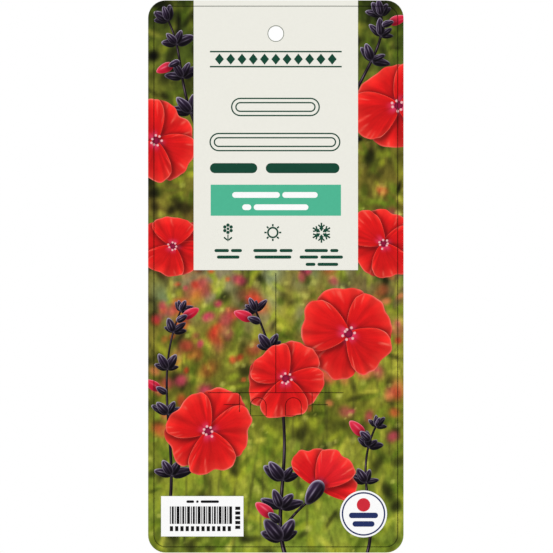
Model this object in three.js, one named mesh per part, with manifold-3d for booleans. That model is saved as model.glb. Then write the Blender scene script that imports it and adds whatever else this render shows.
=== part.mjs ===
// A hanging plant label: one die-cut sheet of stiff white plastic, printed on its front.
//
// Millimetres, +Z up. The printed front looks along -Y and the plain back along +Y.
// The origin is the centre of the hang hole, on the back face.

import * as THREE from 'three';
import { mergeVertices } from 'three/addons/utils/BufferGeometryUtils.js';
import Module from 'manifold-3d';

// The sheet. Every depth below is measured down from its top edge.
const SHEET_WIDTH = 102;
const SHEET_HEIGHT = 220.5;
const SHEET_THICKNESS = 0.5;
const CORNER_RADIUS = 7;
const CORNER_STEPS = 12;

// The punched hole that the label hangs by
const HOLE_DIAMETER = 6;
const HOLE_DEPTH = 13.3;
const HOLE_STEPS = 24;

// A die cut is a slit of this width, right through the sheet
const CUT_WIDTH = 0.3;

// The long upright cut and the cross cut at its foot, which open like two doors
const UPRIGHT_CUT_DEPTH = 108.9;
const CROSS_CUT_DEPTH = 156.6;
const CROSS_CUT_LENGTH = 54;

// Two cuts run down from the cross cut, each with a short arm that points outwards
const SIDE_CUT_SPACING = 29;
const SIDE_CUT_FOOT_DEPTH = 164.3;
const SIDE_ARM_DEPTH = 161.4;
const SIDE_ARM_LENGTH = 6.3;

// Two round-topped tongues between the side cuts, each hinged on a crease at its foot
const TONGUE_SPACING = 14;
const TONGUE_WIDTH = 6.3;
const TONGUE_TOP_DEPTH = 158.6;
const TONGUE_FOOT_DEPTH = 165.8;
const TONGUE_STEPS = 8;
const CREASE_WIDTH = 0.4;
const CREASE_GROOVE = 0.15;

// Cutters stand out of both faces by this much, so that no two faces coincide
const CUTTER_OVERSHOOT = 1;

const sheetMaterial = new THREE.MeshStandardMaterial({
  color: 0xece9e2,
  roughness: 0.42,
  metalness: 0,
});

// The outline is drawn with x to the right and y up, from the middle of the hang hole.
const heightAt = (depth) => HOLE_DEPTH - depth;

const wasm = await Module();
wasm.setup();

// A closed solid from a geometry whose corners are shared between its triangles
function solidFrom(geometry) {
  const bare = geometry.clone();
  bare.deleteAttribute('normal');
  bare.deleteAttribute('uv');
  const merged = mergeVertices(bare, 1e-5);
  return new wasm.Manifold(new wasm.Mesh({
    numProp: 3,
    vertProperties: new Float32Array(merged.attributes.position.array),
    triVerts: new Uint32Array(merged.index.array),
  }));
}

// A geometry with flat faces from a solid
function geometryFrom(solid) {
  const { vertProperties, triVerts } = solid.getMesh();
  const indexed = new THREE.BufferGeometry();
  indexed.setAttribute('position', new THREE.BufferAttribute(vertProperties, 3));
  indexed.setIndex(new THREE.BufferAttribute(triVerts, 1));
  const flat = indexed.toNonIndexed();
  flat.computeVertexNormals();
  return flat;
}

// The sheet before its die cuts: a rounded rectangle with the hang hole, back face at z = 0
function blankSheet() {
  const right = SHEET_WIDTH / 2 - CORNER_RADIUS;
  const top = heightAt(CORNER_RADIUS);
  const bottom = heightAt(SHEET_HEIGHT - CORNER_RADIUS);
  const quarter = Math.PI / 2;
  const outline = new THREE.Shape();
  outline.absarc(right, bottom, CORNER_RADIUS, -quarter, 0);
  outline.absarc(right, top, CORNER_RADIUS, 0, quarter);
  outline.absarc(-right, top, CORNER_RADIUS, quarter, 2 * quarter);
  outline.absarc(-right, bottom, CORNER_RADIUS, 2 * quarter, 3 * quarter);

  const hole = new THREE.Path();
  hole.absarc(0, 0, HOLE_DIAMETER / 2, 0, 2 * Math.PI);
  outline.holes.push(new THREE.Path(hole.getPoints(HOLE_STEPS)));

  return new THREE.ExtrudeGeometry(outline, {
    depth: SHEET_THICKNESS,
    bevelEnabled: false,
    curveSegments: CORNER_STEPS / 2,
  });
}

// A straight through cut whose middle line joins two points, square at both ends
function straightCut(x0, depth0, x1, depth1) {
  const cut = new THREE.BoxGeometry(
    Math.abs(x1 - x0) + CUT_WIDTH,
    Math.abs(depth1 - depth0) + CUT_WIDTH,
    SHEET_THICKNESS + 2 * CUTTER_OVERSHOOT,
  );
  cut.translate((x0 + x1) / 2, heightAt((depth0 + depth1) / 2), SHEET_THICKNESS / 2);
  return cut;
}

// The through cut round one tongue: two legs joined by a half circle
function tongueCut(x) {
  const outer = (TONGUE_WIDTH + CUT_WIDTH) / 2;
  const inner = (TONGUE_WIDTH - CUT_WIDTH) / 2;
  const foot = heightAt(TONGUE_FOOT_DEPTH);
  const centre = heightAt(TONGUE_TOP_DEPTH + TONGUE_WIDTH / 2);
  const band = new THREE.Shape();
  band.moveTo(x + outer, foot);
  band.absarc(x, centre, outer, 0, Math.PI, false);
  band.lineTo(x - outer, foot);
  band.lineTo(x - inner, foot);
  band.absarc(x, centre, inner, Math.PI, 0, true);
  band.lineTo(x + inner, foot);
  const cut = new THREE.ExtrudeGeometry(band, {
    depth: SHEET_THICKNESS + 2 * CUTTER_OVERSHOOT,
    bevelEnabled: false,
    curveSegments: TONGUE_STEPS,
  });
  cut.translate(0, 0, -CUTTER_OVERSHOOT);
  return cut;
}

// The shallow crease in the front face across the foot of one tongue
function creaseCut(x) {
  const height = CREASE_GROOVE + CUTTER_OVERSHOOT;
  const cut = new THREE.BoxGeometry(TONGUE_WIDTH - CUT_WIDTH, CREASE_WIDTH, height);
  cut.translate(x, heightAt(TONGUE_FOOT_DEPTH), SHEET_THICKNESS - CREASE_GROOVE + height / 2);
  return cut;
}

// The cuts on one side of the middle line: side is -1 for the left and 1 for the right
function cutsOnSide(side) {
  const sideCut = side * SIDE_CUT_SPACING / 2;
  const armEnd = sideCut + side * SIDE_ARM_LENGTH;
  const tongue = side * TONGUE_SPACING / 2;
  return [
    straightCut(sideCut, CROSS_CUT_DEPTH, sideCut, SIDE_CUT_FOOT_DEPTH),
    straightCut(sideCut, SIDE_ARM_DEPTH, armEnd, SIDE_ARM_DEPTH),
    tongueCut(tongue),
    creaseCut(tongue),
  ];
}

function labelSheet() {
  const cuts = [
    straightCut(0, UPRIGHT_CUT_DEPTH, 0, CROSS_CUT_DEPTH),
    straightCut(-CROSS_CUT_LENGTH / 2, CROSS_CUT_DEPTH, CROSS_CUT_LENGTH / 2, CROSS_CUT_DEPTH),
    ...cutsOnSide(-1),
    ...cutsOnSide(1),
  ];
  let sheet = solidFrom(blankSheet());
  for (const cut of cuts) {
    sheet = sheet.subtract(solidFrom(cut));
  }
  const mesh = new THREE.Mesh(geometryFrom(sheet), sheetMaterial);
  mesh.name = 'label_sheet';
  // Stand the sheet up: its outline's y becomes +Z, and its front turns towards -Y
  mesh.rotation.x = Math.PI / 2;
  return mesh;
}

const label = new THREE.Group();
label.add(labelSheet());

export default label;
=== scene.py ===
# A hanging plant label, dressed: a white plastic sheet with its print as thin films of ink.
#
# Everything is laid out in millimetres on the front face: x to the right of the middle line,
# z up from the hang hole's centre. Depths are measured down from the label's top edge.

import math
from dataclasses import dataclass

import bmesh
import bpy
import numpy as np
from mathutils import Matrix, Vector
from mathutils.geometry import tessellate_polygon


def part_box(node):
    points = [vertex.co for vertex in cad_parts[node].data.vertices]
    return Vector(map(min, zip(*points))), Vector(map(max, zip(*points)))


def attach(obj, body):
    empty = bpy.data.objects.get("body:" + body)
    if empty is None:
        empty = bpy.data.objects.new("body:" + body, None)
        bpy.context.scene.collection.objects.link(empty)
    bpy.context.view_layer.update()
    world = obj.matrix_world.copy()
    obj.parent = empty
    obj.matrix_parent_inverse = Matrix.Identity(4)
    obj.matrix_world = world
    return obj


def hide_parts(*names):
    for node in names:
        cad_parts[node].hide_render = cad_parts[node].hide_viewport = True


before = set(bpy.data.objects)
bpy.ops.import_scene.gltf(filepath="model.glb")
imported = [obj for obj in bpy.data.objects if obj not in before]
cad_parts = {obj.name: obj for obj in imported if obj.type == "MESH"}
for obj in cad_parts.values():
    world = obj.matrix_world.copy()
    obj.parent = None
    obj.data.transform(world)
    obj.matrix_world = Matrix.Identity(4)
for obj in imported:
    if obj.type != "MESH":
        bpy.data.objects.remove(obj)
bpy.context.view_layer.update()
sheet_low, sheet_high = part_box("label_sheet")

MM = 0.001

# The sheet, whose sides are the CAD's
LEFT = sheet_low.x / MM
RIGHT = sheet_high.x / MM
BOTTOM = sheet_low.z / MM
TOP = sheet_high.z / MM
THICKNESS = (sheet_high.y - sheet_low.y) / MM
CORNER_RADIUS = 7
HOLE_RADIUS = 3

# The ink: each film is one layer thick, and the top layer lies flush with the CAD's front face
LAYER = 0.006
INK_LAYERS = 26
CORE_THICKNESS = THICKNESS - INK_LAYERS * LAYER
EDGE_ROUNDING = 0.04
BLEED_INSET = 0.03

# The order of the print, in layers. A sprig takes 6 layers and a blossom 7.
PICTURE_LAYER = 0
SPRIG_LAYER = 1
BLOSSOM_LAYER = 7
FRONT_BLOSSOM_LAYER = 14
PANEL_LAYER = 22
PANEL_INK_LAYER = 23
LINE_LAYER = 25

# The die cuts, as depths below the top edge
UPRIGHT_CUT_DEPTH = 108.9
CROSS_CUT_DEPTH = 156.6
CROSS_CUT_LENGTH = 54
SIDE_CUT_SPACING = 29
SIDE_CUT_FOOT_DEPTH = 164.3
SIDE_ARM_DEPTH = 161.4
SIDE_ARM_LENGTH = 6.3
TONGUE_SPACING = 14
TONGUE_WIDTH = 6.3
TONGUE_TOP_DEPTH = 158.6
TONGUE_FOOT_DEPTH = 165.8
ARCH_STEPS = 12

# A cut is a hairline in the ink over a wider slit in the sheet, which stands a little to one side
# so that no light shines through
INK_CUT_GAP = 0.02
SHEET_CUT_GAP = 0.2
SHEET_CUT_SHIFT = 0.2
# The painted shade along each cut, and across each tongue's foot where the crease lies, is this wide
CUT_SHADE_WIDTH = 0.25
CREASE_SHADE_WIDTH = 0.14

# Printed blocks, as their two sides, the depth of their top and the depth of their foot
PANEL = (-32.8, 32.8, 0, 107.7)
BAND = (-26, 26, 73.6, 86.0)
CODE_PATCH = (-45.8, -12.9, 197.9, 214)
CODE_BARS = (-42.3, -17.6, 202, 209)
PANEL_CELL = 4

# The ornament at the panel's head: a row of diamonds between two rules
ORNAMENT_DEPTH = 23.5
RULE_HALF_LENGTH = 26.3
RULE_RISE = 3
RULE_WIDTH = 0.6
DIAMONDS = 11
DIAMOND_ROW_REACH = 22.5
DIAMOND_HALF_SIZE = (1.8, 2.2)

# Rows of plain bars with round ends: their height, and by depth their sides (x0, x1)
BOLD_ROW = (4, {67: [(-26.3, -7.4), (-4, 25.4)]})
BAND_ROWS = (2.3, {77.7: [(-17.4, 1.6), (2.6, 16.7)], 82.6: [(-13.4, -9.8), (-8.8, 13)]})
CAPTION_ROWS = (1.25, {
    99.9: [(-24.5, -18.7), (-17.9, -13.5), (-9, 0.6), (1.5, 6.7), (11.5, 20.8), (21.7, 25)],
    102.5: [(-23.5, -14.5), (-8.5, 6.2), (9.5, 16.9), (17.8, 26.8)],
    105.4: [(11.9, 15.8), (16.6, 24.9)],
})
CODE_ROW = (1, {200.1: [(-35.7, -32.6), (-31.8, -30.8), (-30, -22.7)]})
ROUND_PATCH_ROWS = (2.2, {205.6: [(29.2, 40.8)], 209: [(30.6, 39.4)]})

# The rows of open bars, by depth
OPEN_ROWS = {42.6: (-17.9, 17.6), 56.6: (-26.5, 25.8)}
OPEN_HEIGHT = 7.4
OPEN_STROKE = 0.55
OPEN_SPACING = 1.7

# The code patch's upright bars, and its small blocks: the first one, how many, and the steps right and down
CODE_BAR_WIDTHS = (0.4, 0.82, 0.4, 1.14)
CODE_BAR_GAP = 0.36
CODE_BLOCKS = [
    ((-42.3, -41, 209.9, 211.9), 12, 2.1, 0),
    ((-16.2, -14.2, 202.1, 203.4), 5, 0, 1.9),
]

# The middles of the signs and the round patch, as (x, depth)
FLOWER_SIGN = (-19.1, 91.2)
SUN_SIGN = (-1.2, 92.7)
SNOW_SIGN = (18.2, 92.8)
ROUND_PATCH = (35, 205)
ROUND_PATCH_RADIUS = 9.4
PATCH_RING_RADII = (8.7, 8.1)
PATCH_DOT_RISE = 3.6
PATCH_DOT_RADIUS = 2.7
PATCH_STEPS = 64

# The fine border line
BORDER_INSET = 2.35
BORDER_RADIUS = 4.7
BORDER_WIDTH = 0.25

# Fine lines on the picture show what lies under them, this much darker: the border is a clear dark ink, and
# the lines along the die cuts and the tongues' creases are painted shade
LINE_SHADE = 0.45
LINE_STEP = 0.8

# sRGB colours, 0 to 255
PLASTIC_WHITE = (238, 237, 232)
CREAM = (237, 236, 227)
BAND_GREEN = (79, 182, 147)
TEXT_GREEN = (22, 70, 53)
WHITE = (252, 252, 252)
CODE_INK = (16, 16, 17)
PATCH_BLUE = (38, 50, 98)
PATCH_RED = (206, 44, 58)
CUT_SHADOW = (20, 16, 12)
BORDER_ON_PANEL = (42, 54, 40)
HOLE_RING = (122, 130, 116)


def height_at(depth):
    return TOP - depth


def linear(colour):
    """Linear light from sRGB numbers of 0 to 255."""
    c = np.asarray(colour, float) / 255
    return np.where(c <= 0.04045, c / 12.92, ((c + 0.055) / 1.055) ** 2.4)


# Outlines: closed and anticlockwise, as points (x, z)


def arc(x, z, radius, start, end, steps):
    """Points on an arc, from one angle to another in degrees."""
    angles = np.radians(np.linspace(start, end, steps + 1))
    return [(x + radius * math.cos(a), z + radius * math.sin(a)) for a in angles]


def disc_outline(x, z, radius, steps=24):
    return arc(x, z, radius, 0, 360, steps)[:-1]


def rectangle(x0, x1, z0, z1):
    return [(x0, z0), (x1, z0), (x1, z1), (x0, z1)]


def block(x0, x1, depth, foot_depth):
    """A rectangle between two depths."""
    return rectangle(x0, x1, height_at(foot_depth), height_at(depth))


def rounded_rectangle(x0, x1, z0, z1, radius, steps=10):
    left, right, low, high = x0 + radius, x1 - radius, z0 + radius, z1 - radius
    outline = []
    for i, (x, z) in enumerate([(right, low), (right, high), (left, high), (left, low)]):
        outline += arc(x, z, radius, 90 * i - 90, 90 * i, steps)
    return outline


def label_outline(inset, radius):
    """The label's outline, moved in from its edge."""
    return rounded_rectangle(LEFT + inset, RIGHT - inset, BOTTOM + inset, TOP - inset, radius)


def pill(x0, x1, depth, height):
    """A bar with round ends, from its ends and the depth of its middle line."""
    z = height_at(depth)
    return rounded_rectangle(x0, x1, z - height / 2, z + height / 2, height / 2, 6)


def pills(height, rows):
    return [pill(x0, x1, depth, height) for depth, bars in rows.items() for x0, x1 in bars]


def away(x, z, radius, degrees):
    """The point at a distance and a direction from a centre."""
    angle = math.radians(degrees)
    return x + radius * math.cos(angle), z + radius * math.sin(angle)


def spoke(centre, inner, outer, turn, width, lean=0):
    """A straight stroke between two distances from a centre. Its outer end may lean by some degrees."""
    start, end = np.array([away(*centre, inner, turn), away(*centre, outer, turn + lean)])
    along = (end - start) / np.hypot(*(end - start))
    side = np.array([along[1], -along[0]]) * width / 2
    return [start + side, end + side, end - side, start - side]


# Flat meshes: they lie at height 0 until thicken gives them their layer


def paint(bm, colours):
    """Gives each point of a mesh its colour."""
    ink = bm.verts.layers.float_color["ink"]
    for vert, colour in zip(bm.verts, linear(colours)):
        vert[ink] = (*colour, 1)


def flat_mesh(points, faces, colours=None):
    """A flat mesh from points (x, z), faces as point numbers, and perhaps a colour for each point."""
    bm = bmesh.new()
    bm.verts.layers.float_color.new("ink")
    verts = [bm.verts.new((x, z, 0)) for x, z in points]
    for face in faces:
        bm.faces.new([verts[i] for i in face])
    if colours is not None:
        paint(bm, colours)
    return bm


def polygon(points):
    return flat_mesh(points, [range(len(points))])


def ring_mesh(outer, inner):
    """The flat band between two outlines with as many points each."""
    n = len(outer)
    faces = [(i, (i + 1) % n, n + (i + 1) % n, n + i) for i in range(n)]
    return flat_mesh([*outer, *inner], faces)


def grid_faces(rows, columns):
    """The faces of a grid whose points are numbered row by row."""
    across = columns + 1
    corners = [row * across + column for row in range(rows) for column in range(columns)]
    return [(c, c + 1, c + across + 1, c + across) for c in corners]


def grid(x0, x1, z0, z1, step):
    """The points and faces of a flat grid, with cells of about the step's size."""
    columns = max(1, round((x1 - x0) / step))
    rows = max(1, round((z1 - z0) / step))
    xs, zs = np.meshgrid(np.linspace(x0, x1, columns + 1), np.linspace(z0, z1, rows + 1))
    return np.column_stack([xs.ravel(), zs.ravel()]), grid_faces(rows, columns)


# Cutting flat meshes. Their faces are kept in lists, so that they are cut in the same order each run.

SNAP = 1e-6
TOLERANCE = 1e-5
NEARNESS = 0.01


def sides_of(outline):
    return zip(outline, np.roll(outline, -1, axis=0))


def left_of(start, end, x, z):
    """How far a point lies to the left of a line, times the line's length."""
    return (end[0] - start[0]) * (z - start[1]) - (end[1] - start[1]) * (x - start[0])


def split(bm, faces, start, end, clear):
    """Splits faces along the line from start to end, and with clear removes what is right of it.
    Gives the faces that are left."""
    right = Vector((end[1] - start[1], start[0] - end[0], 0))
    geom = dict.fromkeys(faces)
    for face in faces:
        geom.update(dict.fromkeys(face.edges))
        geom.update(dict.fromkeys(face.verts))
    cut = bmesh.ops.bisect_plane(
        bm, geom=list(geom), dist=SNAP, plane_co=(*start, 0), plane_no=right, clear_outer=clear
    )
    return [g for g in cut["geom"] if isinstance(g, bmesh.types.BMFace) and g.is_valid]


def faces_near(faces, points):
    """Those of the faces whose box meets the box round the points."""
    x0, z0 = np.min(points, axis=0) - NEARNESS
    x1, z1 = np.max(points, axis=0) + NEARNESS
    near = []
    for face in faces:
        xs = [v.co.x for v in face.verts]
        zs = [v.co.y for v in face.verts]
        if min(xs) < x1 and max(xs) > x0 and min(zs) < z1 and max(zs) > z0:
            near.append(face)
    return near


def cut_away(bm, outlines):
    """Removes what lies inside any of the convex outlines."""
    pool = faces_near(bm.faces, [point for outline in outlines for point in outline])
    for outline in outlines:
        near = faces_near(pool, outline)
        apart = set(near)
        pool = [face for face in pool if face not in apart]
        inside = []
        for start, end in sides_of(outline):
            near = split(bm, near, start, end, False) if near else near
        for face in near:
            middle = face.calc_center_median()
            if all(left_of(start, end, middle.x, middle.y) > 0 for start, end in sides_of(outline)):
                inside.append(face)
            else:
                pool.append(face)
        bmesh.ops.delete(bm, geom=inside, context="FACES")


def keep_inside(bm, outline):
    """Removes what lies outside a convex outline."""
    x, z = np.array([v.co[:2] for v in bm.verts]).T
    least = np.min([left_of(start, end, x, z) for start, end in sides_of(outline)], axis=0)
    beyond = [face for vert, low in zip(bm.verts, least) if low < -TOLERANCE for face in vert.link_faces]
    pool = list(dict.fromkeys(beyond))
    for start, end in sides_of(outline):
        near, rest = [], []
        for face in pool:
            out = any(left_of(start, end, v.co.x, v.co.y) < -TOLERANCE for v in face.verts)
            (near if out else rest).append(face)
        pool = rest + (split(bm, near, start, end, True) if near else [])


def die_cut_strips(width, shift=0):
    """Convex outlines that together cover every die cut at the given width, without overlap.
    shift is how far the cuts stand off their middle lines."""
    half = width / 2
    cross = height_at(CROSS_CUT_DEPTH) + shift
    reach = CROSS_CUT_LENGTH / 2
    strips = [
        rectangle(shift - half, shift + half, cross + half, height_at(UPRIGHT_CUT_DEPTH)),
        rectangle(-reach, reach, cross - half, cross + half),
    ]
    for side in (-1, 1):
        middle = side * SIDE_CUT_SPACING / 2 + shift
        foot = height_at(SIDE_CUT_FOOT_DEPTH)
        strips.append(rectangle(middle - half, middle + half, foot, cross - half))
        arm = sorted((middle + side * half, middle + side * SIDE_ARM_LENGTH))
        arm_height = height_at(SIDE_ARM_DEPTH) + shift
        strips.append(rectangle(*arm, arm_height - half, arm_height + half))
        strips += tongue_strips(side * TONGUE_SPACING / 2, half, shift)
    return strips


def tongue_strips(x, half, shift):
    """The strips round one tongue: two legs and the pieces of the half circle over them."""
    radius = TONGUE_WIDTH / 2 + shift
    centre = height_at(TONGUE_TOP_DEPTH + TONGUE_WIDTH / 2)
    foot = height_at(TONGUE_FOOT_DEPTH)
    strips = [rectangle(leg - half, leg + half, foot, centre) for leg in (x - radius, x + radius)]
    outer = arc(x, centre, radius + half, 0, 180, ARCH_STEPS)
    inner = arc(x, centre, radius - half, 0, 180, ARCH_STEPS)
    for i in range(ARCH_STEPS):
        strips.append([inner[i], outer[i], outer[i + 1], inner[i + 1]])
    return strips


DIE_CUTS = die_cut_strips(INK_CUT_GAP)
HANG_HOLE = disc_outline(0, 0, HOLE_RADIUS, 40)
LABEL_EDGE = label_outline(0, CORNER_RADIUS)
PRINT_EDGE = label_outline(BLEED_INSET, CORNER_RADIUS - BLEED_INSET)


# Films of ink, and finished pieces


def thicken(bm, base, top):
    """Turns a flat mesh into a closed solid between two heights above the sheet's core."""
    front = bmesh.ops.extrude_face_region(bm, geom=list(bm.faces), use_keep_orig=True)
    raised = {g for g in front["geom"] if isinstance(g, bmesh.types.BMVert)}
    for vert in bm.verts:
        vert.co.z = top if vert in raised else base
    bmesh.ops.recalc_face_normals(bm, faces=bm.faces)
    return bm


def film(bm, layer, cuts=True):
    """A flat mesh as one layer of ink, trimmed to the label, and with cuts open at its die cuts."""
    keep_inside(bm, PRINT_EDGE)
    if cuts:
        cut_away(bm, DIE_CUTS)
    return thicken(bm, layer * LAYER, (layer + 1) * LAYER)


def join(meshes):
    """One mesh from several."""
    joined = bmesh.new()
    joined.verts.layers.float_color.new("ink")
    for bm in meshes:
        scrap = bpy.data.meshes.new("scrap")
        bm.to_mesh(scrap)
        bm.free()
        joined.from_mesh(scrap)
        bpy.data.meshes.remove(scrap)
    return joined


def plates(outlines, layer=PANEL_INK_LAYER):
    """Films that fill some outlines."""
    return join([film(polygon(outline), layer, False) for outline in outlines])


def ring(outer, inner, layer=PANEL_INK_LAYER):
    """A film that fills the band between two outlines."""
    return film(ring_mesh(outer, inner), layer, False)


def add_object(name, data):
    """A new object in the scene."""
    obj = bpy.data.objects.new(name, data)
    bpy.context.collection.objects.link(obj)
    return obj


def piece(name, bm, material):
    """A finished piece of the label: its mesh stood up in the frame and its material."""
    for vert in bm.verts:
        x, z, height = vert.co
        vert.co = (x * MM, (-CORE_THICKNESS - height) * MM, z * MM)
    mesh = bpy.data.meshes.new(name)
    bm.to_mesh(mesh)
    bm.free()
    mesh.materials.append(material)
    obj = add_object(name, mesh)
    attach(obj, "root")
    return obj


# Materials. A noise's scale is in cells a metre.

PRINT_ROUGHNESS = 0.36
PRINT_GLOSS = 0.05
PRINT_RIPPLE = 0.05
SHEET_ROUGHNESS = 0.42
SHEET_GLOSS = 0.45
SHEET_RIPPLE = 0.12
RIPPLE_HEIGHT = 0.0002
RIPPLE_SCALE = 700
ROUGHNESS_SCALE = 260
ROUGHNESS_SPREAD = 0.05
INK_SCALE = 900
CLOUD_SCALE = 60
BLADE_SCALE = 620
FLECK_SCALE = 260


def new_material(name):
    material = bpy.data.materials.new(name)
    material.use_nodes = True
    tree = material.node_tree
    return material, tree, tree.nodes["Principled BSDF"]


def connect(tree, target, inputs):
    """Sets each input of a node to its value, or links it where a socket is given."""
    for name, value in inputs.items():
        if isinstance(value, bpy.types.NodeSocket):
            tree.links.new(value, target.inputs[name])
        else:
            target.inputs[name].default_value = value


def node(tree, kind, inputs, **settings):
    """A new shader node."""
    made = tree.nodes.new("ShaderNode" + kind)
    for name, value in settings.items():
        setattr(made, name, value)
    connect(tree, made, inputs)
    return made


def noise(tree, scale, detail, low, high, upright=1):
    """Noise in the object's own space, brought to a range. upright draws it out in height."""
    place = node(tree, "TexCoord", {}).outputs["Object"]
    stretch = node(tree, "Mapping", {"Vector": place, "Scale": (1, 1, 1 / upright)})
    cells = {"Vector": stretch.outputs["Vector"], "Scale": scale, "Detail": detail}
    value = node(tree, "TexNoise", cells).outputs["Fac"]
    span = {"From Min": 0.3, "From Max": 0.7, "To Min": low, "To Max": high}
    return node(tree, "MapRange", {"Value": value, **span}).outputs["Result"]


def scaled(tree, colour, factor):
    """A colour, given as a socket or as sRGB numbers, multiplied by a grey factor."""
    light = linear(colour) if isinstance(colour, tuple) else colour
    return node(tree, "VectorMath", {"Vector": light, "Scale": factor}, operation="SCALE").outputs["Vector"]


def painted(tree):
    """The colours painted on the mesh."""
    return node(tree, "Attribute", {}, attribute_name="ink").outputs["Color"]


def surface(tree, shader, tone, roughness, ripple, gloss):
    """Gives a shader its colour and gloss, uneven roughness and the faint ripple of smooth sheet."""
    rough = noise(tree, ROUGHNESS_SCALE, 3, roughness - ROUGHNESS_SPREAD, roughness + ROUGHNESS_SPREAD)
    waves = noise(tree, RIPPLE_SCALE, 2, 0, 1)
    bump = node(tree, "Bump", {"Strength": ripple, "Distance": RIPPLE_HEIGHT, "Height": waves})
    look = {"Base Color": tone, "Roughness": rough, "Normal": bump.outputs["Normal"]}
    connect(tree, shader, {**look, "Specular IOR Level": gloss})


def ink_material(name, colour=None, mottle=0.02, roughness=PRINT_ROUGHNESS):
    """Varnished ink: one colour, or the colours painted on the mesh where none is given."""
    material, tree, shader = new_material(name)
    tone = scaled(tree, colour or painted(tree), noise(tree, INK_SCALE, 4, 1 - mottle, 1 + mottle))
    surface(tree, shader, tone, roughness, PRINT_RIPPLE, PRINT_GLOSS)
    return material


def garden_material():
    """The blurred garden: its painted colours, broken up by soft blades and leaf flecks."""
    material, tree, shader = new_material("garden_ink")
    blades = noise(tree, BLADE_SCALE, 3, 0.8, 1.2, 1.8)
    flecks = noise(tree, FLECK_SCALE, 4, 0.82, 1.18)
    tone = scaled(tree, scaled(tree, painted(tree), blades), flecks)
    surface(tree, shader, tone, PRINT_ROUGHNESS, PRINT_RIPPLE, PRINT_GLOSS)
    return material


def plastic_material():
    """The unprinted sheet: satin white plastic, very faintly clouded."""
    material, tree, shader = new_material("white_plastic")
    tone = scaled(tree, PLASTIC_WHITE, noise(tree, CLOUD_SCALE, 5, 0.97, 1.0))
    surface(tree, shader, tone, SHEET_ROUGHNESS, SHEET_RIPPLE, SHEET_GLOSS)
    return material


# The sheet


def label_sheet(material):
    """The plastic core with its hang hole and die cuts, and softly rounded edges."""
    loops = [LABEL_EDGE, HANG_HOLE]
    faces = tessellate_polygon([[Vector((x, z, 0)) for x, z in loop] for loop in loops])
    bm = flat_mesh([p for loop in loops for p in loop], faces)
    bmesh.ops.recalc_face_normals(bm, faces=bm.faces)
    cut_away(bm, die_cut_strips(SHEET_CUT_GAP, SHEET_CUT_SHIFT))
    thicken(bm, -CORE_THICKNESS, 0)
    sheet = piece("label_sheet_finish", bm, material)
    rounding = sheet.modifiers.new("edge_rounding", "BEVEL")
    rounding.width = EDGE_ROUNDING * MM
    rounding.segments = 2
    rounding.limit_method = "ANGLE"
    rounding.angle_limit = math.radians(60)
    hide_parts("label_sheet")


# Painting. The strengths, widths and places are given within these functions.


def smooth(value):
    """A soft step from 0 to 1."""
    value = np.clip(value, 0, 1)
    return value * value * (3 - 2 * value)


def bell(value, width):
    """1 at zero, and softly down to 0 on both sides."""
    return np.exp(-((value / width) ** 2))


def plain(colour, count):
    """One colour for so many points."""
    return np.tile(np.array(colour, float), (count, 1))


def mixed(a, b, share):
    return a + (np.array(b) - a) * share[:, None]


def rotation(angle):
    """The matrix that turns rows of points anticlockwise, by an angle in radians."""
    return np.array([[math.cos(angle), math.sin(angle)], [-math.sin(angle), math.cos(angle)]])


@dataclass
class Shape:
    """One flat shape of the picture. casts says whether it shades what lies under it."""

    points: np.ndarray
    faces: list
    colours: np.ndarray
    outline: list
    layer: int
    casts: bool = True


# The blurred garden: broad tones by depth from dark hedge to lit grass, a glow, and dabs over them

GARDEN_CELL = 0.8
GARDEN_TONES = {
    0: (44, 54, 15),
    24: (74, 88, 28),
    52: (120, 114, 40),
    95: (96, 80, 32),
    125: (136, 122, 48),
    165: (122, 124, 36),
    205: (124, 140, 44),
    221: (122, 140, 46),
}
GARDEN_FOOT = max(GARDEN_TONES)
GLOW_PLACE = (30, 138)
GLOW_REACH = (32, 30)
GLOW_TONE = (26, 32, 2)
MASSES = 90
MASS_TONES = [(30, 36, 10), (170, 168, 56)]
DULL_DABS = 44
DULL_TONES = [(152, 156, 118), (128, 150, 108), (136, 116, 98), (92, 82, 56)]
LEAVES = 1100
LEAF_TONES = [(168, 174, 44), (146, 160, 40), (116, 142, 34), (90, 114, 26), (200, 196, 70), (68, 86, 20)]
FAR_STALKS = 46
FAR_STALK_TONE = (58, 58, 26)
FAR_BLOSSOMS = 170
BLOOM_TONES = [(206, 50, 36), (208, 66, 96), (218, 88, 50), (186, 52, 84), (226, 124, 78)]
GLINTS = 200
GLINT_TONE = (214, 214, 104)
BLUR_DISCS = 26
BLUR_DISC_TONE = (204, 208, 92)

# Dark gaps: how far down they reach, how many and how dark
GAPS = [(GARDEN_FOOT, 260, 0.6), (108, 110, 1)]
GAP_TONE = (8, 8, 3)


def garden_base(x, z):
    """The garden's broad tones."""
    depth = TOP - z
    tones = np.array(list(GARDEN_TONES.values()), float)
    colours = np.column_stack([np.interp(depth, list(GARDEN_TONES), channel) for channel in tones.T])
    out = np.hypot((x - GLOW_PLACE[0]) / GLOW_REACH[0], (depth - GLOW_PLACE[1]) / GLOW_REACH[1])
    return colours + smooth(1 - out)[:, None] * np.array(GLOW_TONE)


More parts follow.
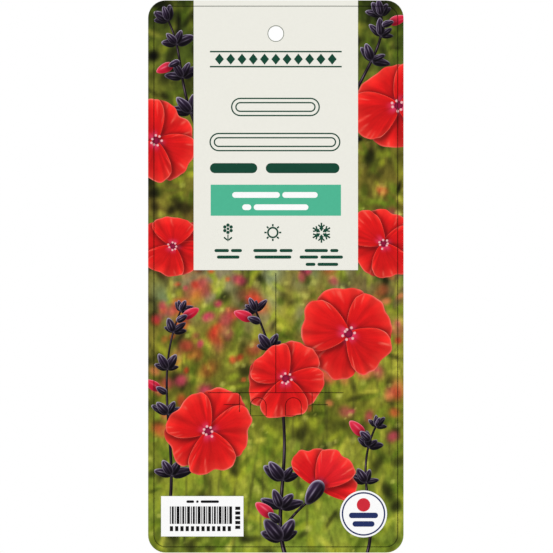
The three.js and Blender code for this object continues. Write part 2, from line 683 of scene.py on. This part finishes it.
def garden_colours(points, rng):
    """Paints the out-of-focus garden: leaves and stalks, dark gaps, glints and far blossoms."""
    x, z = points.T
    colours = garden_base(x, z)
    uniform = rng.uniform

    def dab(place, length, width, angle, colour, strength, hardness=2):
        """Blends a colour in over an ellipse. The harder it is, the crisper is its edge."""
        dx, dz = x - place[0], z - height_at(place[1])
        along = dx * math.cos(angle) + dz * math.sin(angle)
        across = dz * math.cos(angle) - dx * math.sin(angle)
        reach = (along / length) ** 2 + (across / width) ** 2
        near = reach < 4
        cover = strength * np.exp(-reach[near] ** (hardness / 2))
        colours[near] += (np.array(colour, float) - colours[near]) * cover[:, None]

    def anywhere(top=0, foot=GARDEN_FOOT):
        return uniform(LEFT, RIGHT), uniform(top, foot)

    def upright(spread):
        return math.radians(90 + rng.normal(0, spread))

    def one_of(tones):
        return tones[rng.integers(len(tones))]

    # Soft masses of light and shade
    for _ in range(MASSES):
        tone = one_of(MASS_TONES)
        dab(anywhere(), uniform(5, 15), uniform(3, 8), uniform(0, math.pi), tone, uniform(0.2, 0.5))

    # Dull distance just below the panel
    for _ in range(DULL_DABS):
        tone = one_of(DULL_TONES)
        dab(anywhere(106, 130), uniform(4, 10), uniform(2, 4.5), upright(30), tone, uniform(0.3, 0.7))

    # Leaves and stalks, brighter towards the foot
    for _ in range(LEAVES):
        place = anywhere()
        bright = 0.78 + 0.22 * min(place[1] / 70, 1)
        tone = np.array(one_of(LEAF_TONES)) * bright
        dab(place, uniform(1.4, 5.5), uniform(0.7, 2), upright(48), tone, uniform(0.3, 0.75), 3)

    # Dark gaps between them, and more of them beside the panel
    for foot, count, strength in GAPS:
        for _ in range(count):
            dab(anywhere(0, foot), uniform(1.2, 5), uniform(0.8, 2.6), upright(50), GAP_TONE,
                strength * uniform(0.4, 1), 3)

    # Far stalks
    for _ in range(FAR_STALKS):
        dab(anywhere(100), uniform(8, 20), uniform(0.35, 0.7), upright(10), FAR_STALK_TONE,
            uniform(0.2, 0.5), 3)

    # Far blossoms, most of them in the band below the panel
    for _ in range(FAR_BLOSSOMS):
        side = rng.choice([-1, 1])
        depth = rng.normal(130, 20)
        radius = uniform(0.8, 3.2)
        dab((side * uniform(6, 50), depth), radius * uniform(1, 1.6), radius, uniform(0, math.pi),
            one_of(BLOOM_TONES), uniform(0.3, 0.9), 3)

    # Points of light, small and crisp or large and faint
    for _ in range(GLINTS):
        radius = uniform(0.5, 1.5)
        dab(anywhere(50), radius, radius, 0, GLINT_TONE, uniform(0.2, 0.6), 4)
    for _ in range(BLUR_DISCS):
        radius = uniform(1.6, 3.2)
        dab(anywhere(105), radius, radius, 0, BLUR_DISC_TONE, uniform(0.12, 0.3), 6)
    return np.clip(colours, 8, 250)


def print_garden(material):
    """Prints the garden, and gives it back as the picture's lowest shape."""
    points, faces = grid(LEFT, RIGHT, BOTTOM, TOP, GARDEN_CELL)
    colours = garden_colours(points, np.random.default_rng(7))
    bm = flat_mesh(points, faces, colours)
    cut_away(bm, [HANG_HOLE])
    piece("print_garden", film(bm, PICTURE_LAYER), material)
    return Shape(points, faces, colours, LABEL_EDGE, PICTURE_LAYER)


# How the picture's shapes lie over each other

SHADOW_OFFSET = np.array([0.35, -0.45])
SHADOW_REACH = 1.3
SHADOW_DEPTH = 0.34
SHADOW_MARGIN = 3


def lie_inside(points, outline):
    """Which of the points lie inside a closed outline."""
    x, z = points.T
    inside = np.zeros(len(points), bool)
    for (x0, z0), (x1, z1) in sides_of(outline):
        if z0 != z1:
            crossed = (z0 > z) != (z1 > z)
            inside ^= crossed & (x < x0 + (z - z0) * (x1 - x0) / (z1 - z0))
    return inside


def colours_under(points, shapes):
    """The picture's colour at each point, which is that of the topmost shape there."""
    colours = np.zeros((len(points), 3))
    for shape in sorted(shapes, key=lambda shape: shape.layer):
        for i in np.flatnonzero(lie_inside(points, shape.outline)):
            nearest = np.argmin(((shape.points - points[i]) ** 2).sum(axis=1))
            colours[i] = shape.colours[nearest]
    return colours


def distance_to(outline, points):
    """Each point's distance to a closed outline."""
    best = np.full(len(points), np.inf)
    for start, end in sides_of(outline):
        span = end - start
        share = np.clip(((points - start) @ span) / max((span**2).sum(), 1e-9), 0, 1)
        best = np.minimum(best, np.hypot(*(points - start - share[:, None] * span).T))
    return best


def cast_shadows(shapes):
    """Darkens each shape where a shape on a higher layer overlaps it or lies close."""
    for lower in shapes:
        low = lower.points.min(axis=0) - SHADOW_MARGIN
        high = lower.points.max(axis=0) + SHADOW_MARGIN
        shade = np.zeros(len(lower.points))
        for upper in shapes:
            if upper.layer <= lower.layer or not upper.casts:
                continue
            if (upper.points.min(axis=0) > high).any() or (upper.points.max(axis=0) < low).any():
                continue
            gap = distance_to(upper.outline + SHADOW_OFFSET, lower.points)
            shade = np.maximum(shade, bell(gap, SHADOW_REACH))
        lower.colours *= (1 - SHADOW_DEPTH * shade)[:, None]


# Blossoms

PETALS = 5
PETAL_POINTS = 96
PETAL_RINGS = 24
STAMENS = 7
THROAT = (228, 62, 108)
DEEP_RED = (196, 16, 26)
PETAL_RED = (218, 26, 26)
RIM_RED = (240, 54, 44)
CRINKLE = (248, 120, 100)
RIM_LIGHT = (250, 140, 122)
EYE = (150, 22, 62)
STAMEN = (250, 184, 186)

# A half-open flower's petals: how far each leans in degrees, its share of the radius, and its red
HALF_OPEN_PETALS = [(42, 0.9, (212, 24, 28)), (-42, 0.9, (212, 24, 28)), (0, 1, (224, 34, 40))]


def fan(base, rim, rings):
    """A mesh that fans out from a base point to a rim. Gives its points, its faces, and for each
    point how far out it is, 0 to 1, and which rim point it belongs to."""
    rim = np.asarray(rim, float)
    count = len(rim)
    outward = np.repeat(np.linspace(1 / rings, 1, rings), count)
    around = np.tile(np.arange(count), rings)
    points = np.vstack([base, base + (rim[around] - base) * outward[:, None]])
    faces = [(0, 1 + i, 1 + (i + 1) % count) for i in range(count)]
    for inner in range(1, 1 + (rings - 1) * count, count):
        outer = inner + count
        for i in range(count):
            j = (i + 1) % count
            faces.append((inner + i, outer + i, outer + j, inner + j))
    return points, faces, np.append(0, outward), np.append(0, around)


def petal_rim(length, width, notch, rng):
    """A broad petal's wavy rim, from the origin along +x, and its points' angles, 0 at the tip."""
    angle = np.linspace(-math.pi, math.pi, PETAL_POINTS, endpoint=False)
    along = length / 2 * (1 + np.cos(angle))
    across = width / 2 * np.sin(angle) * (1 + 0.42 * np.cos(angle))
    along = along - notch * length * bell(angle, 0.2)
    wave = np.zeros(PETAL_POINTS)
    for waves, size in ((3, 0.018), (5, 0.014), (9, 0.010), (15, 0.006)):
        wave += size * np.sin(waves * angle + rng.uniform(0, 2 * math.pi))
    wave *= smooth(along / length * 2 - 0.4)
    return np.column_stack([along, across]) * (1 + wave)[:, None], angle


def petal_colours(out, side, turn, tone, rng):
    """A petal's colours: out is how far out a point is, and side is its angle on the rim."""
    colours = plain(tone, len(out))
    colours = mixed(colours, DEEP_RED, smooth((0.6 - out) / 0.5) * 0.75)
    colours = mixed(colours, THROAT, smooth((0.32 - out) / 0.24) * 0.9)
    colours = mixed(colours, RIM_RED, smooth((out - 0.66) / 0.3) * 0.7)

    # Broad ruffles near the rim, soft folds, fine veins from the base, and a middle crease
    ruffle = np.zeros(len(out))
    for waves in (4, 7, 11):
        ruffle += np.cos(waves * side + rng.uniform(0, 6.28)) / 3
    lit = 0.11 * ruffle * smooth((out - 0.25) / 0.75) + 0.05 * np.sin(side + turn) * out
    for middle in rng.uniform(-1.5, 1.5, 3):
        fold = bell(side - middle, 0.12) - bell(side - middle - 0.22, 0.14)
        lit += 0.07 * fold * smooth((out - 0.2) / 0.3)
    vein_phase = 34 * side + 2.2 * np.sin(5 * out + rng.uniform(0, 6.28))
    lit -= 0.06 * np.cos(vein_phase) ** 8 * smooth(out / 0.3) * (1 - 0.5 * out)
    lit -= 0.08 * bell(side, 0.14) * smooth((0.95 - out) / 0.5)
    colours *= (1 + lit)[:, None]

    # A few bright crinkles, and a lit edge
    for _ in range(5):
        middle = rng.uniform(-1.9, 1.9)
        start = rng.uniform(0.55, 0.8)
        line = bell(side - middle - 0.25 * (out - start), 0.035)
        line *= smooth((out - start) / 0.15) * smooth((1.02 - out) / 0.1)
        colours = mixed(colours, CRINKLE, 0.6 * line)
    edge = smooth((out - 0.95) / 0.045)
    glint = 0.5 + 0.5 * np.cos(2 * side + rng.uniform(0, 6.28)) * np.cos(5 * side + rng.uniform(0, 6.28))
    return np.clip(mixed(colours, RIM_LIGHT, edge * (0.25 + 0.65 * glint)), 0, 255)


def petal(base, turn, length, width, layer, rng, squash, tone=PETAL_RED):
    """One petal. squash is how much it is foreshortened, and along which way in radians."""
    rim, angle = petal_rim(length, width, rng.uniform(0.03, 0.09), rng)
    factor, way = squash
    axis = np.array([math.cos(way), math.sin(way)])
    rim = rim @ rotation(turn)
    rim = rim + np.outer(rim @ axis, axis) * (factor - 1)
    points, faces, out, around = fan(np.zeros(2), rim, PETAL_RINGS)
    colours = petal_colours(out, angle[around], turn, tone, rng)
    return Shape(points + base, faces, colours, rim + base, layer)


def disc(x, z, radius, colour, layer, dark=0.3):
    """A small round spot, darker by this share at its rim."""
    rim = disc_outline(x, z, radius, 20)
    points, faces, out, _ = fan(np.array([x, z]), rim, 3)
    colours = plain(colour, len(points)) * (1 - dark * out**2)[:, None]
    return Shape(points, faces, colours, rim, layer, casts=False)


def blossom(x, depth, radius, turn, seed, squash, layer=BLOSSOM_LAYER):
    """An open flower: broad petals, every second one drawn first, round an eye with pale stamens."""
    rng = np.random.default_rng(seed)
    centre = np.array([x, height_at(depth)])
    shapes = []
    for k in range(PETALS):
        angle = math.radians(turn + 360 // PETALS * (2 * k % PETALS) + rng.normal(0, 5))
        length = radius * rng.uniform(0.93, 1.06)
        width = radius * rng.uniform(1.0, 1.16)
        shapes.append(petal(centre, angle, length, width, layer + k, rng, squash))
    shapes.append(disc(*centre, radius * 0.09, EYE, layer + PETALS))
    for k in range(STAMENS):
        angle = 2 * math.pi * k / STAMENS + rng.normal(0, 0.15)
        reach = radius * rng.uniform(0.08, 0.15)
        spot = centre + reach * np.array([math.cos(angle), math.sin(angle)])
        shapes.append(disc(*spot, radius * 0.03, STAMEN, layer + PETALS + 1, 0.15))
    return shapes


def half_open(x, depth, radius, turn, seed):
    """A flower seen from the side: three petals that spread from a dark calyx."""
    rng = np.random.default_rng(seed)
    base = np.array([x, height_at(depth)])
    squash = (0.92, math.radians(turn))
    shapes = []
    for lean, reach, tone in HALF_OPEN_PETALS:
        way = math.radians(turn + lean + rng.normal(0, 3))
        width = radius * rng.uniform(0.8, 0.9)
        layer = BLOSSOM_LAYER + len(shapes)
        shapes.append(petal(base, way, radius * reach, width, layer, rng, squash, tone))
    calyx = away(*base, 0.14 * radius, turn)
    shapes.append(bud(calyx, radius * 0.62, radius * 0.34, turn + 180, BLOSSOM_LAYER + 3, BUD))
    return shapes


# Sprigs. Their colours run from shade to light.

STALK = (14, 6, 12), (144, 124, 142)
BUD = (9, 4, 11), (60, 43, 74), (224, 216, 234)
PINK = (180, 16, 44), (230, 52, 78), (252, 160, 176)
LIGHT_FROM = np.array([-0.5, 0.87])
STALK_STEPS = 40
STALK_LANES = 8
BUD_POINTS = 48
BUD_RINGS = 10

# How far a whorl's buds lean off their stalk, in degrees. The straight one is only at the tip.
BUD_LEANS = (-72, 66, -34, 30, 0)

# The stalks' paths: foot, two points that draw the curve towards them, and tip, as (x, depth)
STALKS = {
    "middle": [(4, 222), (-4, 200), (14, 176), (-8, 124)],
    "left": [(-43, 206), (-38, 178), (-50, 152), (-38, 124)],
    "right": [(36, 222), (42, 206), (30, 190), (40, 170)],
    "top": [(-29, 56), (-40, 36), (-36, 22), (-43, 8)],
    "corner": [(30, 40), (38, 24), (44, 16), (42, 6)],
    "twig": [(3, 211), (5, 208), (8, 204), (13, 200)],
}

# Their widths at foot and tip, their whorls as (place along the stalk, buds' length), and a seed
SPRIGS = {
    "middle": ((1.8, 0.9), [(1, 6), (0.9, 7.2), (0.42, 9), (0.28, 10), (0.1, 10)], 31),
    "left": ((1.4, 0.7), [(1, 5), (0.9, 5.8), (0.72, 6.4), (0.5, 7), (0.2, 8)], 32),
    "right": ((1.4, 0.8), [(1, 5), (0.86, 6), (0.6, 6.6), (0.36, 7)], 33),
    "top": ((1.3, 0.8), [(1, 6), (0.78, 7), (0.48, 7.4), (0.2, 8)], 34),
    "corner": ((1.4, 0.9), [(1, 6), (0.72, 7), (0.4, 7)], 35),
    "twig": ((1.2, 1), [], 36),
}

# The closed flowers: stalk, place along it, turn in degrees and length
CLOSED_FLOWERS = [
    ("middle", 0.97, 158, 10),
    ("left", 0.95, 30, 9),
    ("left", 0.6, 150, 9),
    ("right", 0.9, 136, 10),
    ("top", 0.62, 205, 9),
    ("corner", 0.86, 20, 9),
    ("middle", 0.2, 142, 11),
]


def on_stalk(stalk, t):
    """Points on a stalk's smooth curve, at places from 0 at its foot to 1 at its tip."""
    a, b, c, d = (np.array([x, height_at(depth)]) for x, depth in STALKS[stalk])
    t = np.atleast_1d(t)[:, None]
    return (1 - t) ** 3 * a + 3 * (1 - t) ** 2 * t * b + 3 * (1 - t) * t**2 * c + t**3 * d


def ribbon(stalk, widths, layer, dark, light):
    """A stalk that tapers between two widths, with a broken highlight along it."""
    share = np.linspace(0, 1, STALK_STEPS + 1)
    line = on_stalk(stalk, share)
    along = np.gradient(line, axis=0)
    along /= np.hypot(*along.T)[:, None]
    normal = np.column_stack([-along[:, 1], along[:, 0]])
    half = np.interp(share, (0, 1), widths)[:, None] / 2
    lanes = np.linspace(-1, 1, STALK_LANES + 1)
    points = np.concatenate([line + lane * half * normal for lane in lanes])
    place = np.repeat(lanes, STALK_STEPS + 1)
    gloss = bell(place - 0.25, 0.3) * (0.6 + 0.3 * np.sin(37 * np.tile(share, len(lanes))))
    colours = mixed(plain(dark, len(points)), light, gloss + 0.35 * np.abs(place) ** 6)
    outline = np.vstack([line - half * normal, (line + half * normal)[::-1]])
    return Shape(points, grid_faces(STALK_LANES, STALK_STEPS), colours, outline, layer)


def bud(base, length, width, turn, layer, inks, stripes=3):
    """A pointed bud or small leaf, lit from the upper left, with lengthwise highlights. turn is its
    tip's way in degrees, and inks are its dark, middle and light colours."""
    dark, middle, light = inks
    angle = np.linspace(-math.pi, math.pi, BUD_POINTS, endpoint=False)
    along = length / 2 * (1 + np.cos(angle))
    across = width / 2 * np.sin(angle) * (1 - 0.25 * np.cos(angle))
    rotate = rotation(math.radians(turn))
    rim = np.column_stack([along, across]) @ rotate + base
    centre = np.array([length * 0.5, 0]) @ rotate + base
    points, faces, out, _ = fan(centre, rim, BUD_RINGS)
    reach, place = ((points - base) @ rotate.T / (length, width / 2)).T

    tip_lit, side_lit = rotate @ LIGHT_FROM
    lit = smooth(0.5 + 0.6 * place * side_lit + 0.4 * (2 * reach - 1) * tip_lit)
    bands = np.cos(place * math.pi * stripes / 2 + 0.6) ** 8 * (0.65 + 0.35 * np.sin(8 * reach + turn))
    colours = mixed(plain(dark, len(points)), middle, 0.9 * lit)
    colours = mixed(colours, light, bands * (1 - out**3) * (0.1 + 0.75 * lit))
    colours = mixed(colours, light, smooth((out - 0.84) / 0.12) * (0.16 + 0.7 * lit))
    return Shape(points, faces, colours, rim, layer)


def spray(stalk, widths, whorls, seed):
    """A stalk with its whorls of buds."""
    rng = np.random.default_rng(seed)
    shapes = [ribbon(stalk, widths, SPRIG_LAYER, *STALK)]
    for share, size in whorls:
        base, back = on_stalk(stalk, share)[0], on_stalk(stalk, share - 0.03)[0]
        heading = math.degrees(math.atan2(*(base - back)[::-1]))
        for k, lean in enumerate(BUD_LEANS):
            if lean == 0 and share < 1:
                continue
            length = size * rng.uniform(0.7, 1.1)
            width = length * rng.uniform(0.42, 0.56)
            turn = heading + lean + rng.normal(0, 8)
            shapes.append(bud(base, length, width, turn, SPRIG_LAYER + 1 + k, BUD))
    return shapes


def closed_flower(stalk, share, turn, length):
    """A rolled pink flower that comes out of a dark calyx, at a place along a stalk."""
    base = on_stalk(stalk, share)[0]
    tube = away(*base, 0.34 * length, turn)
    rolled = bud(tube, length * 0.8, length * 0.42, turn, BLOSSOM_LAYER, PINK, 2)
    calyx = bud(base, length * 0.55, length * 0.3, turn, BLOSSOM_LAYER + 1, BUD)
    return [rolled, calyx]


def picture_shapes():
    """The sharp part of the picture, by piece name. A blossom's values are x, depth, radius, turn in
    degrees, seed and foreshortening."""
    pieces = {
        "print_blossom_right": blossom(29, 133, 19, 100, 11, (0.93, 0.6)),
        "print_blossom_middle": blossom(4, 151, 16.5, 52, 17, (0.9, 2.4), FRONT_BLOSSOM_LAYER),
        "print_blossom_left": blossom(-27, 172, 18, 64, 12, (0.9, 2.2)),
        "print_blossom_low": half_open(17, 194, 18, 56, 13),
        "print_blossom_top": blossom(-48, 56, 17, 40, 14, (0.9, 0.3)),
        "print_blossom_edge": blossom(49, 42, 19, 130, 15, (0.9, 1.9)),
        "print_blossom_corner": blossom(43, 97, 15.5, 75, 16, (0.85, 0.9)),
        "print_blossom_behind": blossom(-41, 98, 14, 20, 18, (0.88, 1.4)),
        "print_closed_flowers": [shape for flower in CLOSED_FLOWERS for shape in closed_flower(*flower)],
    }
    for stalk, sprig in SPRIGS.items():
        pieces["print_sprig_" + stalk] = spray(stalk, *sprig)
    return pieces


def print_shapes(material):
    """Prints the sharp shapes over the garden, shaded where one lies over another."""
    pieces = picture_shapes()
    every_shape = [shape for shapes in pieces.values() for shape in shapes]
    cast_shadows(every_shape)
    for name, shapes in pieces.items():
        films = [film(flat_mesh(s.points, s.faces, s.colours), s.layer) for s in shapes]
        piece(name, join(films), material)
    return every_shape


# The panel and the patches


def print_panel_and_patches():
    cream = ink_material("cream_ink", CREAM, 0.006, 0.4)
    green = ink_material("band_ink", BAND_GREEN, 0.015)
    dark = ink_material("text_ink", TEXT_GREEN, 0.04)
    white = ink_material("white_ink", WHITE, 0.004, 0.4)

    x0, x1, depth, foot_depth = PANEL
    panel = flat_mesh(*grid(x0, x1, height_at(foot_depth), height_at(depth), PANEL_CELL))
    cut_away(panel, [HANG_HOLE])
    piece("print_panel", film(panel, PANEL_LAYER, False), cream)
    piece("print_band", plates([block(*BAND)]), green)

    print_ornament(dark)
    print_rows(dark, white)
    piece("print_flower_sign", flower_sign(*FLOWER_SIGN), dark)
    piece("print_sun_sign", sun_sign(*SUN_SIGN), dark)
    piece("print_snow_sign", snow_sign(*SNOW_SIGN), dark)
    print_code_patch(white)
    print_round_patch(white)


def print_ornament(ink):
    """A row of diamonds between two rules, across the head of the panel."""
    z = height_at(ORNAMENT_DEPTH)
    shapes = []
    for rule in (z - RULE_RISE, z + RULE_RISE):
        sides = (rule - RULE_WIDTH / 2, rule + RULE_WIDTH / 2)
        shapes.append(rectangle(-RULE_HALF_LENGTH, RULE_HALF_LENGTH, *sides))
    right, up = DIAMOND_HALF_SIZE
    for x in np.linspace(-DIAMOND_ROW_REACH, DIAMOND_ROW_REACH, DIAMONDS):
        shapes.append([(x, z - up), (x + right, z), (x, z + up), (x - right, z)])
    piece("print_ornament", plates(shapes), ink)


def print_rows(dark, white):
    """The rows of plain bars. An open bar is two thin outlines, one inside the other."""
    piece("print_bold_row", plates(pills(*BOLD_ROW)), dark)

    rings = []
    for depth, (x0, x1) in OPEN_ROWS.items():
        for inset in (0, OPEN_SPACING):
            insets = (inset, inset + OPEN_STROKE)
            rings.append(ring(*[pill(x0 + d, x1 - d, depth, OPEN_HEIGHT - 2 * d) for d in insets]))
    piece("print_open_rows", join(rings), dark)

    piece("print_captions", plates(pills(*CAPTION_ROWS)), dark)
    on_band = plates(pills(*BAND_ROWS), PANEL_INK_LAYER + 1)
    piece("print_band_rows", on_band, white)


def flower_sign(x, depth):
    """Six round petals round an eye, over a stem with two leaves."""
    z = height_at(depth)
    flower = [disc_outline(*away(x, z, 1.45, 90 + 60 * i), 0.68) for i in range(6)]
    flower.append(disc_outline(x, z, 0.55))
    flower.append(rectangle(x - 0.22, x + 0.22, z - 5, z - 2.3))
    leaves = [spoke((x + side * 0.3, z - 4.5), 0, 1.7, 90 - side * 50, 0.6) for side in (1, -1)]
    return join([plates(flower), plates(leaves, PANEL_INK_LAYER + 1)])


def sun_sign(x, depth):
    """A ring with eight short rays."""
    z = height_at(depth)
    rays = [spoke((x, z), 2.45, 3.4, 45 * i, 0.65) for i in range(8)]
    return join([ring(disc_outline(x, z, 2.3), disc_outline(x, z, 1.6)), plates(rays)])


def snow_sign(x, depth):
    """Six arms with barbs. The barbs that lean one way lie over those that lean the other way."""
    centre = (x, height_at(depth))
    turns = range(30, 390, 60)
    crystal = [plates([spoke(centre, 0.75, 4, turn, 0.65) for turn in turns])]
    for lean, layer in ((-21, PANEL_INK_LAYER + 1), (21, PANEL_INK_LAYER + 2)):
        outer = [spoke(centre, 1.9, 3.4, turn, 0.6, lean) for turn in turns]
        inner = [spoke(centre, 1.1, 2, turn, 0.5, lean) for turn in turns]
        crystal.append(plates(outer + inner, layer))
    return join(crystal)


def print_code_patch(white):
    """A white patch with upright bars in an even rhythm, a short row above and small blocks beside."""
    black = ink_material("code_ink", CODE_INK, 0.04)
    piece("print_code_patch", plates([block(*CODE_PATCH)], PANEL_LAYER), white)

    shapes = []
    x, end, depth, foot_depth = CODE_BARS
    while x < end:
        for width in CODE_BAR_WIDTHS:
            shapes.append(block(x, x + width, depth, foot_depth))
            x += width + CODE_BAR_GAP
    shapes += pills(*CODE_ROW)
    for (x0, x1, depth, foot_depth), count, right, down in CODE_BLOCKS:
        for i in range(count):
            sides = (x0 + right * i, x1 + right * i)
            shapes.append(block(*sides, depth + down * i, foot_depth + down * i))
    piece("print_code_bars", plates(shapes), black)


def print_round_patch(white):
    """A white disc with a blue ring, a red dot and two blue bars."""
    blue = ink_material("patch_blue_ink", PATCH_BLUE, 0.03)
    red = ink_material("patch_red_ink", PATCH_RED, 0.03)
    x, z = ROUND_PATCH[0], height_at(ROUND_PATCH[1])
    patch = plates([disc_outline(x, z, ROUND_PATCH_RADIUS, PATCH_STEPS)], PANEL_LAYER)
    piece("print_round_patch", patch, white)

    blue_ring = ring(*[disc_outline(x, z, radius, PATCH_STEPS) for radius in PATCH_RING_RADII])
    piece("print_round_patch_blue", join([blue_ring, plates(pills(*ROUND_PATCH_ROWS))]), blue)
    dot = plates([disc_outline(x, z + PATCH_DOT_RISE, PATCH_DOT_RADIUS)])
    piece("print_round_patch_red", dot, red)


# The fine lines


def clear_line(bm, picture):
    """Gives a line the colours of the picture under it, darkened, at short steps along it."""
    long = [edge for edge in bm.edges if edge.calc_length() > LINE_STEP]
    if long:
        cuts = int(max(edge.calc_length() for edge in long) / LINE_STEP)
        bmesh.ops.subdivide_edges(bm, edges=long, cuts=cuts)
    points = np.array([vert.co[:2] for vert in bm.verts])
    paint(bm, colours_under(points, picture) * LINE_SHADE)
    return bm


def print_border(picture, line_material):
    """The fine line inside the label's edge, and its lighter stretch across the panel."""
    sides = (BORDER_INSET - BORDER_WIDTH / 2, BORDER_INSET + BORDER_WIDTH / 2)
    border = ring_mesh(*[label_outline(inset, BORDER_RADIUS + BORDER_INSET - inset) for inset in sides])
    cut_away(border, [block(*PANEL)])
    clear_line(border, picture)
    piece("print_border", film(border, LINE_LAYER, False), line_material)

    panel_ink = ink_material("border_ink", BORDER_ON_PANEL, 0.02)
    on_panel = plates([block(*PANEL[:2], *sides)], LINE_LAYER)
    piece("print_border_on_panel", on_panel, panel_ink)


def print_hole_ring():
    ring_ink = ink_material("ring_ink", HOLE_RING, 0.02)
    sides = [disc_outline(0, 0, HOLE_RADIUS + gap, 48) for gap in (0.3, 0.04)]
    piece("print_hole_ring", ring(*sides, LINE_LAYER), ring_ink)


def print_cut_shade_lines(picture, line_material):
    """Painted shade along each die cut and across each tongue's foot, where the crease lies, and a painted
    shadow on the floor of each cut.
    """
    strips = die_cut_strips(CUT_SHADE_WIDTH)
    lines = [film(clear_line(polygon(strip), picture), LINE_LAYER) for strip in strips]
    # Painted shade across each tongue's foot, where the crease lies
    z = height_at(TONGUE_FOOT_DEPTH)
    reach = (TONGUE_WIDTH - CUT_SHADE_WIDTH) / 2
    for x in (-TONGUE_SPACING / 2, TONGUE_SPACING / 2):
        crease = rectangle(x - reach, x + reach, z - CREASE_SHADE_WIDTH / 2, z + CREASE_SHADE_WIDTH / 2)
        lines.append(film(clear_line(polygon(crease), picture), LINE_LAYER, False))
    piece("print_cut_shade_lines", join(lines), line_material)

    # Painted shadow: a dark film on the floor of each cut, where its walls shade it
    shadow = ink_material("cut_shadow", CUT_SHADOW, 0.05, 0.6)
    piece("print_cut_floor_shadows", plates(DIE_CUTS, PICTURE_LAYER), shadow)


# Stage and camera, in metres

FLOOR_COLOUR = (0.86, 0.86, 0.85, 1)
FLOOR_ROUGHNESS = 0.9
FLOOR_RADIUS = 1.7
FLOOR_FADE_START = 0.25
FLOOR_DROP = 0.35
SKY_LIGHT = 0.75
SKY_SEEN = 1.0

# The soft lights: where they stand, and their power in watts
LIGHT_SIZE = 1.1
LIGHTS = {
    "key_left": ((-1.3, -1.3, 0.5), 6.5),
    "key_right": ((1.3, -1.3, 0.5), 6.5),
    "back_soft": ((0.3, 1.6, 0.9), 9),
}

# The photograph's square frame, how much of its height the label fills, and how far it is off centre
PICTURE_PIXELS = 553
LABEL_PIXELS = 552.5
OFF_CENTRE_PIXELS = 0.68
LENS = 100

LABEL_MIDDLE = (TOP + BOTTOM) / 2 * MM


def pale_floor():
    """A round floor below the hanging label, which fades into the white ground towards its rim."""
    material, tree, shader = new_material("pale_floor")
    place = node(tree, "TexCoord", {}).outputs["Object"]
    reach = node(tree, "VectorMath", {"Vector": place}, operation="LENGTH").outputs["Value"]
    span = {"From Min": FLOOR_RADIUS * FLOOR_FADE_START, "From Max": FLOOR_RADIUS, "To Min": 1, "To Max": 0}
    fade = node(tree, "MapRange", {"Value": reach, **span}, interpolation_type="SMOOTHSTEP")
    look = {"Base Color": FLOOR_COLOUR, "Roughness": FLOOR_ROUGHNESS, "Alpha": fade.outputs["Result"]}
    connect(tree, shader, look)

    rim = disc_outline(0, 0, FLOOR_RADIUS, 128)
    mesh = bpy.data.meshes.new("floor")
    mesh.from_pydata([(x, y, 0) for x, y in rim], [], [range(len(rim))])
    mesh.materials.append(material)
    floor = add_object("floor", mesh)
    floor.location.z = BOTTOM * MM - FLOOR_DROP


def studio():
    """White surroundings, and soft lights on both sides in front and one behind."""
    scene = bpy.context.scene
    scene.view_settings.view_transform = "Standard"
    scene.world = bpy.data.worlds.new("studio")
    scene.world.use_nodes = True
    tree = scene.world.node_tree
    seen = node(tree, "LightPath", {}).outputs["Is Camera Ray"]
    strength = node(tree, "MapRange", {"Value": seen, "To Min": SKY_LIGHT, "To Max": SKY_SEEN})
    white_sky = {"Color": (1, 1, 1, 1), "Strength": strength.outputs["Result"]}
    connect(tree, tree.nodes["Background"], white_sky)

    for name, (place, power) in LIGHTS.items():
        light = bpy.data.lights.new(name, "AREA")
        light.shape = "SQUARE"
        light.size = LIGHT_SIZE
        light.energy = power
        obj = add_object(name, light)
        obj.location = place
        obj.rotation_mode = "QUATERNION"
        towards_label = Vector((0, 0, LABEL_MIDDLE)) - obj.location
        obj.rotation_quaternion = towards_label.to_track_quat("-Z", "Y")


def camera():
    """Straight on, with the label filling the height of the square frame."""
    data = bpy.data.cameras.new("camera")
    data.lens = LENS
    data.clip_start = 0.01
    data.clip_end = 20
    pixel = (TOP - BOTTOM) * MM / LABEL_PIXELS
    distance = PICTURE_PIXELS * pixel * data.lens / data.sensor_width
    obj = add_object("camera", data)
    obj.location = (OFF_CENTRE_PIXELS * pixel, -THICKNESS * MM - distance, LABEL_MIDDLE)
    obj.rotation_euler = (math.radians(90), 0, 0)
    bpy.context.scene.camera = obj


camera()
pale_floor()
studio()
label_sheet(plastic_material())
picture_ink = ink_material("picture_ink", None, 0.03)
garden = print_garden(garden_material())
picture = [garden, *print_shapes(picture_ink)]
print_panel_and_patches()
print_border(picture, picture_ink)
print_hole_ring()
print_cut_shade_lines(picture, picture_ink)
